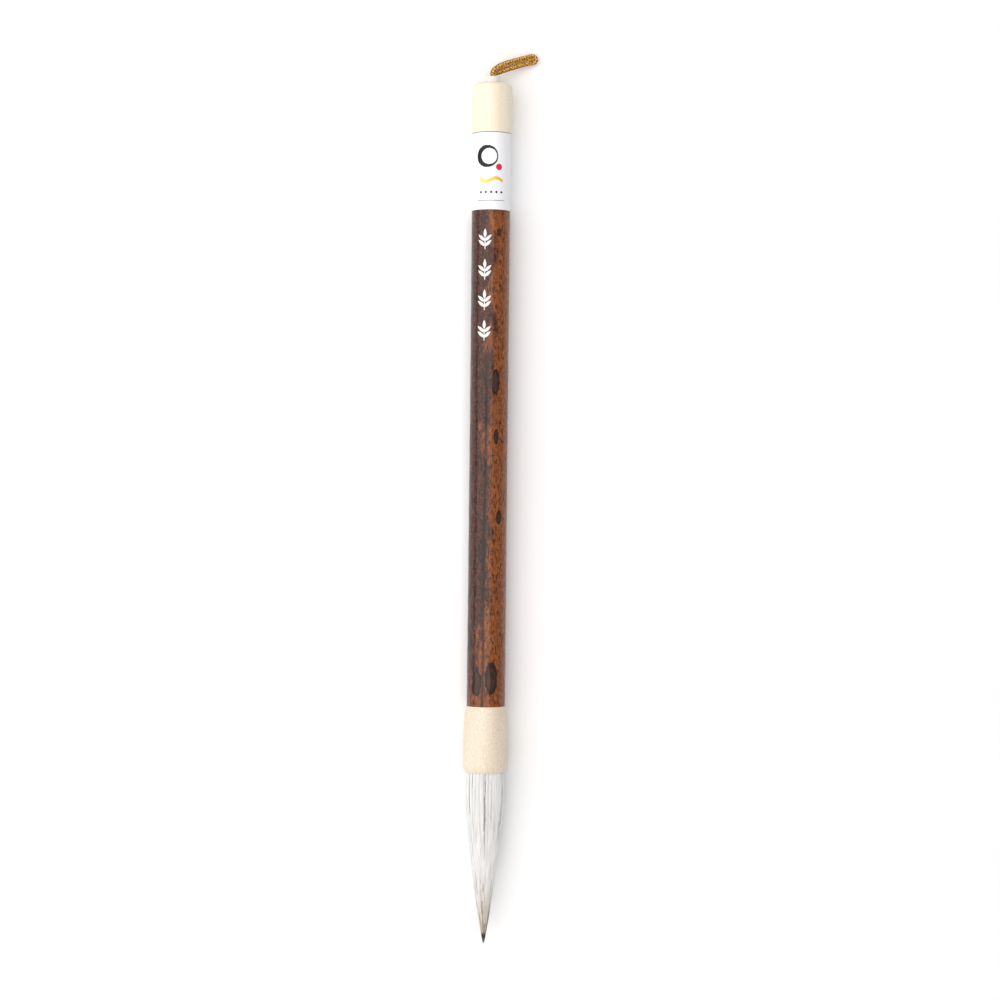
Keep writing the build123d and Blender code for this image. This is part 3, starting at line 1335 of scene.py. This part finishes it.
@dataclass
class Ferrule:
    """The turned ferrule that holds the hair."""

    widest: float = 6.65 * MM
    top_radius: float = 5.8 * MM
    lip_radius: float = 5.85 * MM
    socket: float = 5.55 * MM
    socket_depth: float = 13.0 * MM
    band: tuple = (2.6 * MM, 6.0 * MM)
    tenon: float = 3.25 * MM
    tenon_length: float = 12.0 * MM
    lip_edge: float = 0.12 * MM
    top_edge: float = 0.14 * MM
    tenon_edge: float = 0.5 * MM
    mouth_edge: float = 0.1 * MM

    def arc(self, end_radius: float, run: float, steps: int) -> list[tuple[float, float]]:
        """Radii and distances along an arc that leaves the widest band smoothly.

        Args:
            end_radius: the radius that the arc falls to.
            run: how far along the brush it takes.
            steps: the number of points.

        Returns:
            (radius, distance from the band) pairs, the band's own end left out.
        """
        drop = self.widest - end_radius
        bend = (drop**2 + run**2) / (2 * drop)
        spans = [run * (step + 1) / steps for step in range(steps)]
        return [(self.widest - bend + math.sqrt(bend**2 - s**2), s) for s in spans]

    def build(self) -> None:
        """Turns the ferrule."""
        band_low, band_high = (AT.mouth + rise for rise in self.band)
        corner = [(r, band_low - s) for r, s in self.arc(self.lip_radius, self.band[0], 9)]
        shoulder = self.arc(self.top_radius, AT.ferrule_top - band_high, 16)
        outer = corner[::-1] + [(self.widest, band_low), (self.widest, band_high)]
        outer += [(r, band_high + s) for r, s in shoulder]
        floor = AT.mouth + self.socket_depth
        tenon_top = AT.ferrule_top + self.tenon_length
        inner = [
            (self.tenon, AT.ferrule_top), (self.tenon, tenon_top), (0.0, tenon_top),
            (0.0, floor), (self.socket, floor), (self.socket, AT.mouth),
        ]
        radii = [self.lip_edge] + [0.0] * (len(outer) - 2) + [self.top_edge, 0.0, self.tenon_edge]
        radii += [0.0, 0.0, 0.0, self.mouth_edge]
        finish = TurnedWoodFinish()
        ferrule = lathe("turned_ferrule", softened(outer + inner, radii), finish.material())
        stand_for(ferrule, Body.ROOT, "pale_maple", "ferrule")


@dataclass
class TopCap:
    """The turned cap, its knob, and the knot hidden in it."""

    radius: float = 5.85 * MM
    edge: float = 1.4 * MM
    foot_edge: float = 0.12 * MM
    tenon: float = 3.25 * MM
    tenon_length: float = 10.0 * MM
    chamber: float = 2.55 * MM
    roof: float = 5.0 * MM
    seat: float = 2.3 * MM
    seat_depth: float = 1.5 * MM
    bore: float = 1.85 * MM
    knob_radius: float = 2.5 * MM

    def build(self) -> None:
        """Turns the cap and the knob."""
        foot, top = AT.handle_top, AT.cap_top
        tenon_low, ceiling = foot - self.tenon_length, top - self.roof
        seat_low = top - self.seat_depth
        outline = [
            (self.radius, foot), (self.radius, top), (self.seat, top), (self.seat, seat_low),
            (self.bore, seat_low), (self.bore, ceiling), (self.chamber, ceiling),
            (self.chamber, tenon_low), (self.tenon, tenon_low), (self.tenon, foot),
        ]
        radii = [self.foot_edge, self.edge, 0.1 * MM, 0, 0, 0.1 * MM, 0, 0.2 * MM, 0.3 * MM, 0]
        wood = TurnedWoodFinish(
            "pale_cap_wood", light=(0.93, 0.85, 0.68), deep=(0.90, 0.77, 0.57), ray_strength=0.12
        )
        cap = lathe("turned_cap", softened(outline, radii, steps=8), wood.material())
        stand_for(cap, Body.ROOT, "pale_maple", "top_cap")
        self.build_knob(top, seat_low)

    def build_knob(self, top: float, stub_low: float) -> None:
        """Turns the white knob with its bore.

        Args:
            top: the Y of the cap's top face.
            stub_low: the Y of the stub's lower end.
        """
        outline = [
            (self.knob_radius, top), (self.knob_radius, AT.knob_top), (self.bore, AT.knob_top),
            (self.bore, stub_low), (self.seat, stub_low), (self.seat, top),
        ]
        radii = [0.25 * MM, 0.5 * MM, 0.14 * MM, 0, 0.15 * MM, 0]
        finish = PlainFinish(
            "white_enamel", (0.86, 0.85, 0.82), (0.80, 0.78, 0.74), grain=0.8, rough=0.22, coat=0.4
        )
        knob = lathe("bored_knob", softened(outline, radii, steps=7), finish.material(), sides=96)
        stand_for(knob, Body.ROOT, "white_button", "cord_knob")


@dataclass
class CordLoop:
    """The braided hanging loop, doubled out of the knob and flopped to the side."""

    diameter: float = 1.7 * MM
    ring_radius: float = 0.50 * MM
    weave: float = 0.12 * MM
    yarn_radius: float = 0.245 * MM
    filler_radius: float = 0.52 * MM
    lead: float = 2.6 * MM
    carriers: int = 8
    samples: int = 640
    in_bore: float = 1.2 * MM
    bend_before: float = 0.9 * MM
    bend_after: float = 3.4 * MM
    bend_along: tuple = (0.80, 0.60, 0.0)
    strand_offset: float = 0.9 * MM
    # The route beyond the hinge, close to the frame's tube, in millimetres.
    route: tuple = (
        (0.0, 0.0, 0.9), (1.0, 1.25, 0.75), (3.4, 2.75, -0.75), (6.6, 4.05, -2.9),
        (9.6, 5.15, -4.6), (12.2, 5.95, -5.35), (12.75, 4.3, -5.45), (10.3, 3.8, -4.95),
        (7.0, 2.6, -3.5), (3.8, 1.3, -2.0), (1.2, 0.2, -1.0), (0.0, 0.0, -0.9),
    )

    def build(self) -> None:
        line = self.centre_line()
        path = [tuple(vertex.co) for vertex in line.vertices]
        steps = zip(path, path[1:])
        length = sum((Vector(b) - Vector(a)).length for a, b in steps)
        loop = self.braid(line)
        bend(loop, (Body.ROOT, Body.LOOP), *self.bending_span())
        claim(loop, "gold_braid", "hanging_loop")
        LOG.info("hanging loop is %.1f mm long", length / MM)

    def bending_span(self) -> tuple[Vector, Vector]:
        """Where the loop starts and ends bending, each side of its hinge.

        Returns:
            The span's two ends.
        """
        hinge = on_axis(AT.cord_hinge)
        along = Vector(self.bend_along)
        return hinge - along * self.bend_before, hinge + along * self.bend_after

    def centre_line(self) -> bpy.types.Mesh:
        """The cord's line as a mesh of points, read from one smooth spline.

        Returns:
            The line's mesh.
        """
        hinge = on_axis(AT.cord_hinge)
        points = [hinge + Vector(point) * MM for point in self.route]
        inside = on_axis(AT.knob_top - self.in_bore)
        up = Vector((0, 0, self.strand_offset))
        points = [inside + up, *points, inside - up]
        data = bpy.data.curves.new("loop_route", "CURVE")
        data.dimensions = "3D"
        data.resolution_u = 40
        spline = data.splines.new("NURBS")
        spline.points.add(len(points) - 1)
        for target, point in zip(spline.points, points):
            target.co = (*point, 1.0)
        spline.order_u = 3
        spline.use_endpoint_u = True
        route = bpy.data.objects.new("loop_route", data)
        bpy.context.scene.collection.objects.link(route)
        bpy.context.view_layer.update()
        mesh = bpy.data.meshes.new_from_object(route)
        bpy.data.objects.remove(route)
        return mesh

    def braid(self, line: bpy.types.Mesh) -> bpy.types.Object:
        """Eight yarns plaited over and under round a dark filler, along the line.

        Args:
            line: the cord's line.

        Returns:
            The braided loop.
        """
        g = GeometryGraph(
            "braid_along_line",
            {
                "Ring Radius": self.ring_radius, "Weave": self.weave,
                "Yarn Radius": self.yarn_radius, "Filler Radius": self.filler_radius,
                "Lead": self.lead, "Samples": self.samples, "Carriers": self.carriers,
            },
        )
        curve = g.add("GeometryNodeMeshToCurve", {0: g.given["Geometry"]}).outputs[0]
        inputs = {"Curve": curve, "Count": g.given["Samples"]}
        even = g.add("GeometryNodeResampleCurve", inputs).outputs[0]
        inputs = {"Geometry": even, "Amount": g.given["Carriers"]}
        copies = g.add("GeometryNodeDuplicateElements", inputs, domain="SPLINE")
        numbered = g.store(copies.outputs["Geometry"], "carrier", copies.outputs["Duplicate Index"])
        carrier = g.stored("carrier")
        half = g.math("FLOOR", g.over(carrier, 2.0))
        odd = g.minus(carrier, g.times(half, 2.0))
        side = g.minus(1.0, g.times(odd, 2.0))
        length = g.add("GeometryNodeSplineParameter").outputs["Length"]
        turns = g.over(g.times(length, 2 * math.pi), g.given["Lead"])
        angle = g.plus(g.times(turns, side), g.times(half, math.pi / 2))
        over = g.times(g.math("COSINE", g.times(turns, 4.0)), side)
        rho = g.plus(g.given["Ring Radius"], g.times(over, g.given["Weave"]))
        normal = g.add("GeometryNodeInputNormal").outputs["Normal"]
        tangent = g.add("GeometryNodeInputTangent").outputs[0]
        crossed = {0: tangent, 1: normal}
        aside = g.add("ShaderNodeVectorMath", crossed, operation="CROSS_PRODUCT").outputs[0]
        parts = []
        for direction, share in ((normal, "COSINE"), (aside, "SINE")):
            amount = g.times(g.math(share, angle), rho)
            scaled = g.add("ShaderNodeVectorMath", {0: direction}, operation="SCALE")
            g.put(scaled.inputs["Scale"], amount)
            parts.append(scaled.outputs[0])
        offset = g.add("ShaderNodeVectorMath", dict(enumerate(parts)), operation="ADD").outputs[0]
        inputs = {"Geometry": numbered, "Offset": offset}
        moved = g.add("GeometryNodeSetPosition", inputs).outputs[0]
        shade = g.times(g.fraction(carrier, 0.37), 0.08)
        shade = g.plus(shade, g.times(odd, 0.34))
        # Painted shade: a yarn darkens towards amber and dark as it dives under the others.
        dive = g.times(g.between(over, 0.45, -0.75), 0.78)
        toned = g.store(moved, "yarn", g.plus(shade, dive))
        yarns = g.tube(toned, g.given["Yarn Radius"], 10)
        dark = g.store(even, "yarn", 1.0)
        filler = g.tube(dark, g.given["Filler Radius"], 12)
        joined = g.add("GeometryNodeJoinGeometry")
        g.put(joined.inputs[0], yarns)
        g.put(joined.inputs[0], filler)
        g.finish(joined.outputs[0])
        return grow("braided_loop", g, {"Material": BraidFinish().material()}, base=line)


@dataclass(frozen=True)
class Stretch:
    """One stretch of the tuft and the joint that it bends over, in millimetres from the mouth."""

    word: str
    start: float
    stop: float
    bodies: tuple[Body, Body]
    bend_from: float
    bend_to: float
    rows: int


@dataclass(frozen=True)
class Bundle:
    """One layer of the tuft's strands."""

    word: str
    finish: HairFinish
    slot: str
    strands: int
    shares: tuple[float, float]
    ends: tuple[float, float]
    gather: float
    seed: int
    # How many strands carry the long painted shadow line.
    shadow_strands: int = 0


@dataclass
class Tuft:
    """The hair tuft: cover and core strands over a closed pale body, in two stretches."""

    length: float = 50.0
    outline: tuple = (
        (0.0, 5.45), (7.0, 5.6), (14.0, 5.2), (21.0, 4.45), (27.0, 3.65), (33.0, 2.8),
        (39.0, 2.0), (46.0, 0.9), (50.0, 0.2),
    )
    widest: float = 5.6
    strand_radius: float = 0.085
    body_share: float = 0.93
    body_end: float = 44.0
    body_facets: tuple = (120, 48)
    body_tone: float = 0.45
    gather_span: tuple = (22.0, 42.0)
    # The one long painted shadow line on the tuft's upper side, laid on strands side by side: turn
    # from strand to strand, and their tone.
    shadow_pitch: float = 0.012
    shadow_tone: float = 0.0080348
    stretches: tuple = (
        Stretch("near", -3.0, 15.0, (Body.ROOT, Body.BELLY), 0.0, 12.0, 10),
        Stretch("far", 15.0, 50.0, (Body.BELLY, Body.TIP), 15.5, 38.5, 20),
    )
    cover: Bundle = Bundle(
        "cover", HairFinish("pale_cover_hair"), "white_goat_hair", strands=1500,
        shares=(0.935, 1.0), ends=(31.0, 46.0), gather=1.0, seed=11, shadow_strands=4,
    )
    core: Bundle = Bundle(
        "core", HairFinish("dark_core_hair", turning=(0.50, 0.80)), "dark_core_hair", strands=520,
        shares=(0.0, 1.0), ends=(44.0, 50.0), gather=0.42, seed=29,
    )

    def build(self) -> None:
        """Grows both bundles over both stretches, with the pale body under them."""
        tree = self.strand_tree()
        nodes = {
            ("cover", "near"): ("cover_hair_belly",), ("cover", "far"): ("cover_hair_tip",),
            ("core", "near"): ("core_hair_belly",), ("core", "far"): ("core_hair_tip",),
            ("body", "near"): ("waist_hair_belly",), ("body", "far"): (),
        }
        for stretch in self.stretches:
            for bundle in (self.cover, self.core):
                piece = self.grow_bundle(tree, bundle, stretch)
                self.fasten(piece, stretch, bundle.slot, nodes[bundle.word, stretch.word])
            body = self.body(stretch)
            self.fasten(body, stretch, self.cover.slot, nodes["body", stretch.word])

    def fasten(
        self, piece: bpy.types.Object, stretch: Stretch, slot: str, nodes: tuple[str, ...]
    ) -> None:
        """Bakes a piece's placement, and hides the CAD nodes that it replaces.

        Args:
            piece: the piece.
            stretch: the stretch that it covers.
            slot: its finish, in a plain word or two.
            nodes: the CAD nodes that it replaces.
        """
        start = on_axis(AT.mouth - stretch.bend_from * MM)
        bend(piece, stretch.bodies, start, on_axis(AT.mouth - stretch.bend_to * MM))
        claim(piece, slot, *nodes)

    def grow_bundle(
        self, tree: GeometryGraph, bundle: Bundle, stretch: Stretch
    ) -> bpy.types.Object:
        """Grows one bundle over one stretch.

        Args:
            tree: the strands' tree.
            bundle: the bundle.
            stretch: the stretch of it to grow.

        Returns:
            The strands.
        """
        values = {
            "Seed": bundle.seed, "Strands": bundle.strands, "Rows": stretch.rows,
            "From": stretch.start, "To": stretch.stop, "Share Low": bundle.shares[0],
            "Share High": bundle.shares[1], "End Low": bundle.ends[0], "End High": bundle.ends[1],
            "Gather": bundle.gather, "Shadow Share": bundle.finish.shadow_share,
            "Shadow Strands": bundle.shadow_strands,
            "Strand Radius": self.strand_radius, "Material": bundle.finish.material(),
        }
        return grow(f"{bundle.word}_strands_{stretch.word}", tree, values)

    def strand_tree(self) -> GeometryGraph:
        """The tree that grows strands along the tuft's outline.

        Returns:
            The tree, with its inputs still at their defaults.
        """
        g = GeometryGraph(
            "tuft_strands",
            {
                "Seed": 1, "Strands": 100, "Rows": 10, "From": 0.0, "To": 10.0, "Share Low": 0.9,
                "Share High": 1.0, "End Low": 30.0, "End High": 40.0, "Gather": 1.0,
                "Shadow Share": 0.02, "Shadow Strands": 0, "Strand Radius": self.strand_radius,
            },
        )
        index = g.add("GeometryNodeInputIndex").outputs[0]
        rows = g.given["Rows"]
        strand = g.math("FLOOR", g.over(g.plus(index, 0.5), rows))
        step = g.minus(index, g.times(strand, rows))
        along = g.over(step, g.minus(rows, 1.0))
        inner = g.random(g.given["Share Low"], g.given["Share High"], 1, strand)
        turn = g.random(0.0, 2 * math.pi, 2, strand)
        luck = g.random(0.0, 1.0, 3, strand)
        tone = g.random(0.0, 1.0, 4, strand)
        # The first strands lie side by side on top and carry the painted shadow line.
        dark = g.below(strand, g.given["Shadow Strands"])
        rest = g.minus(1.0, dark)
        beside = g.times(strand, self.shadow_pitch)
        turn = g.plus(g.times(turn, rest), g.times(beside, dark))
        tone = g.plus(g.times(tone, rest), g.times(dark, self.shadow_tone))
        # Strands that carry painted shadow lines lie on the outside of the tuft.
        share = g.math("MAXIMUM", inner, g.below(tone, g.given["Shadow Share"]))
        reach = g.minus(g.given["End High"], g.given["End Low"])
        end = g.plus(g.given["End Low"], g.times(reach, luck))
        stop = g.math("MINIMUM", end, g.given["To"])
        run = g.minus(stop, g.given["From"])
        station = g.plus(g.given["From"], g.times(run, along))
        part = g.over(station, self.length)
        radius = self.shape_radius(g, part)
        angle, press = self.clumps(g, turn, station, strand)
        gathered = g.between(station, *self.gather_span)
        wide = g.minus(1.0, g.given["Gather"])
        spread = g.plus(g.given["Gather"], g.times(wide, gathered))
        rho = g.times(g.times(radius, g.math("SQRT", share)), spread)
        rho = g.times(g.times(rho, press), MM)
        x = g.times(rho, g.math("SINE", angle))
        z = g.plus(AT.axis_z, g.times(rho, g.math("COSINE", angle)))
        y = g.minus(AT.mouth, g.times(station, MM))
        count = g.times(g.given["Strands"], rows)
        inputs = {"Count": count, "Position": g.vector(x, y, z)}
        points = g.add("GeometryNodePoints", inputs).outputs[0]
        marks = {"strand": strand, "step": step, "station": part, "tone": tone, "end": end}
        for name, value in marks.items():
            points = g.store(points, name, value)
        over = g.below(g.stored("end"), g.plus(g.given["From"], 0.5))
        inputs = {"Geometry": points, "Selection": over}
        kept = g.add("GeometryNodeDeleteGeometry", inputs, domain="POINT").outputs[0]
        inputs = {"Points": kept, "Curve Group ID": g.stored("strand"), "Weight": g.stored("step")}
        curves = g.add("GeometryNodePointsToCurves", inputs).outputs[0]
        left = g.minus(g.stored("end"), g.times(g.stored("station"), self.length))
        taper = g.math("MAXIMUM", g.math("MINIMUM", g.over(left, 7.0), 1.0), 0.12)
        thick = g.times(g.times(g.given["Strand Radius"], MM), taper)
        g.finish(g.tube(curves, thick, 3))
        return g

    def shape_radius(self, g: GeometryGraph, part: Socket) -> Socket:
        """The tuft's outline in millimetres, for a part of its length.

        Args:
            g: the tree.
            part: the part of the length, from 0 to 1.

        Returns:
            The radius.
        """
        node = g.add("ShaderNodeFloatCurve", {"Value": g.math("MAXIMUM", part, 0.0)})
        curve = node.mapping.curves[0]
        while len(curve.points) < len(self.outline):
            curve.points.new(0.5, 0.5)
        for point, (station, radius) in zip(curve.points, self.outline):
            point.location = (station / self.length, radius / self.widest)
        node.mapping.update()
        return g.times(node.outputs[0], self.widest)

    @staticmethod
    def clumps(
        g: GeometryGraph, turn: Socket, station: Socket, strand: Socket
    ) -> tuple[Socket, Socket]:
        """How strands gather into locks.

        Args:
            g: the tree.
            turn: each strand's own angle.
            station: the point's distance from the mouth.
            strand: the strand's number.

        Returns:
            The point's angle, and how far in it is pressed, near 1.
        """
        out = g.math("MAXIMUM", station, 0.0)
        across = (g.math("SINE", turn), g.math("COSINE", turn))
        lock_at = g.vector(*(g.times(part, 3.4) for part in across), g.times(out, 0.012))
        lock = g.noise(lock_at, detail=2.0, roughness=0.5)
        own_at = g.vector(g.times(strand, 0.37), g.times(out, 0.07), 0.0)
        own = g.noise(own_at, detail=1.0, roughness=0.5)
        pull = g.centred(lock, g.times(out, 0.016))
        waver = g.centred(own, g.times(out, 0.010))
        angle = g.plus(turn, g.plus(pull, waver))
        ridge_at = g.vector(*(g.times(part, 9.0) for part in across), g.times(out, 0.03))
        ridge = g.noise(ridge_at, detail=2.0, roughness=0.5)
        press = g.minus(1.0, g.times(g.between(ridge, 0.40, 0.70), 0.035))
        return angle, press

    def body(self, stretch: Stretch) -> bpy.types.Object:
        """The closed, finely ridged pale mass under the strands, over one stretch.

        Args:
            stretch: the stretch that it fills.

        Returns:
            The body.
        """
        stop = min(stretch.stop, self.body_end)
        around, rows = self.body_facets
        stations, radii = zip(*self.outline)
        angles = np.linspace(0, 2 * np.pi, around, endpoint=False)
        shape = bmesh.new()
        station_of = shape.verts.layers.float.new("station")
        tone_of = shape.verts.layers.float.new("tone")
        rings = []
        for row in range(rows + 1):
            at = stretch.start + (stop - stretch.start) * row / rows
            base = np.interp(max(at, 0.0), stations, radii) * self.body_share
            ridges = 0.010 * np.sin(31 * angles + 0.04 * at) + 0.008 * np.sin(47 * angles + 1.3)
            y = AT.mouth - at * MM
            ring = []
            for angle, r in zip(angles, base * (1 - 0.018 + ridges) * MM):
                vert = shape.verts.new((r * np.sin(angle), y, AT.axis_z + r * np.cos(angle)))
                vert[station_of] = at / self.length
                vert[tone_of] = self.body_tone
                ring.append(vert)
            rings.append(ring)
        join_rings(shape, rings)
        shape.faces.new(rings[0])
        shape.faces.new(rings[-1])
        finish = HairFinish(f"hair_mass_{stretch.word}")
        return finish_mesh(f"hair_body_{stretch.word}", shape, finish.material())


@dataclass
class RootBinding:
    """What the ferrule and the cap hide: bound hair roots, resin bed, disc and knot."""

    turns: int = 6
    thread_radius: float = 0.30 * MM

    def build(self) -> None:
        """Winds the thread and dresses the other hidden pieces."""
        thread = self.wound_thread()
        stand_for(thread, Body.ROOT, "linen_thread", "root_thread")
        resin = PlainFinish(
            "amber_resin", (0.36, 0.17, 0.05), (0.24, 0.10, 0.03), grain=0.6, rough=0.25, coat=0.3
        )
        for node in ("resin_bed", "root_disc"):
            dress(node, resin.material())
        dress("cord_knot", BraidFinish("knot_yarn").material())
        pale = PlainFinish("bound_pale_roots", (0.80, 0.77, 0.70), (0.62, 0.57, 0.48), 1.6, 0.5)
        dark = PlainFinish("bound_dark_roots", (0.24, 0.15, 0.08), (0.10, 0.06, 0.03), 1.6, 0.5)
        for node, finish in (
            ("cover_hair_root", pale), ("waist_hair_root", pale), ("core_hair_root", dark),
        ):
            dress(node, finish.material())

    def wound_thread(self) -> bpy.types.Object:
        """The thread's turns round the hair roots, as one closed coil.

        Returns:
            The coil.
        """
        low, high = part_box("root_thread")
        outer = (high.x - low.x) / 2
        span = high.y - low.y - 2 * self.thread_radius
        g = GeometryGraph(
            "wound_thread",
            {
                "Turns": float(self.turns), "Coil Radius": MM, "Rise": MM,
                "Thread Radius": self.thread_radius,
            },
        )
        coil = g.add(
            "GeometryNodeCurveSpiral",
            {
                "Resolution": 48, "Rotations": g.given["Turns"], "Height": g.given["Rise"],
                "Start Radius": g.given["Coil Radius"], "End Radius": g.given["Coil Radius"],
            },
        ).outputs[0]
        place = Vector((0, high.y - self.thread_radius, AT.axis_z))
        laid = g.add(
            "GeometryNodeTransform",
            {"Geometry": coil, "Translation": place, "Rotation": (math.radians(90), 0, 0)},
        ).outputs[0]
        g.finish(g.tube(laid, g.given["Thread Radius"], 10))
        finish = PlainFinish("linen_thread", (0.72, 0.64, 0.50), (0.56, 0.47, 0.34), 3.0, 0.7)
        values = {
            "Turns": float(self.turns), "Coil Radius": outer - self.thread_radius, "Rise": span,
            "Thread Radius": self.thread_radius, "Material": finish.material(),
        }
        return grow("wound_thread", g, values)


def main() -> None:
    """Builds the brush, sub-assembly by sub-assembly."""
    logging.basicConfig(level=logging.INFO, format="%(message)s")
    kinds = (Studio, CordLoop, BambooHandle, LabelSleeve, Ferrule, TopCap, Tuft, RootBinding)
    for kind in kinds:
        kind().build()


if __name__ == "__main__":
    main()
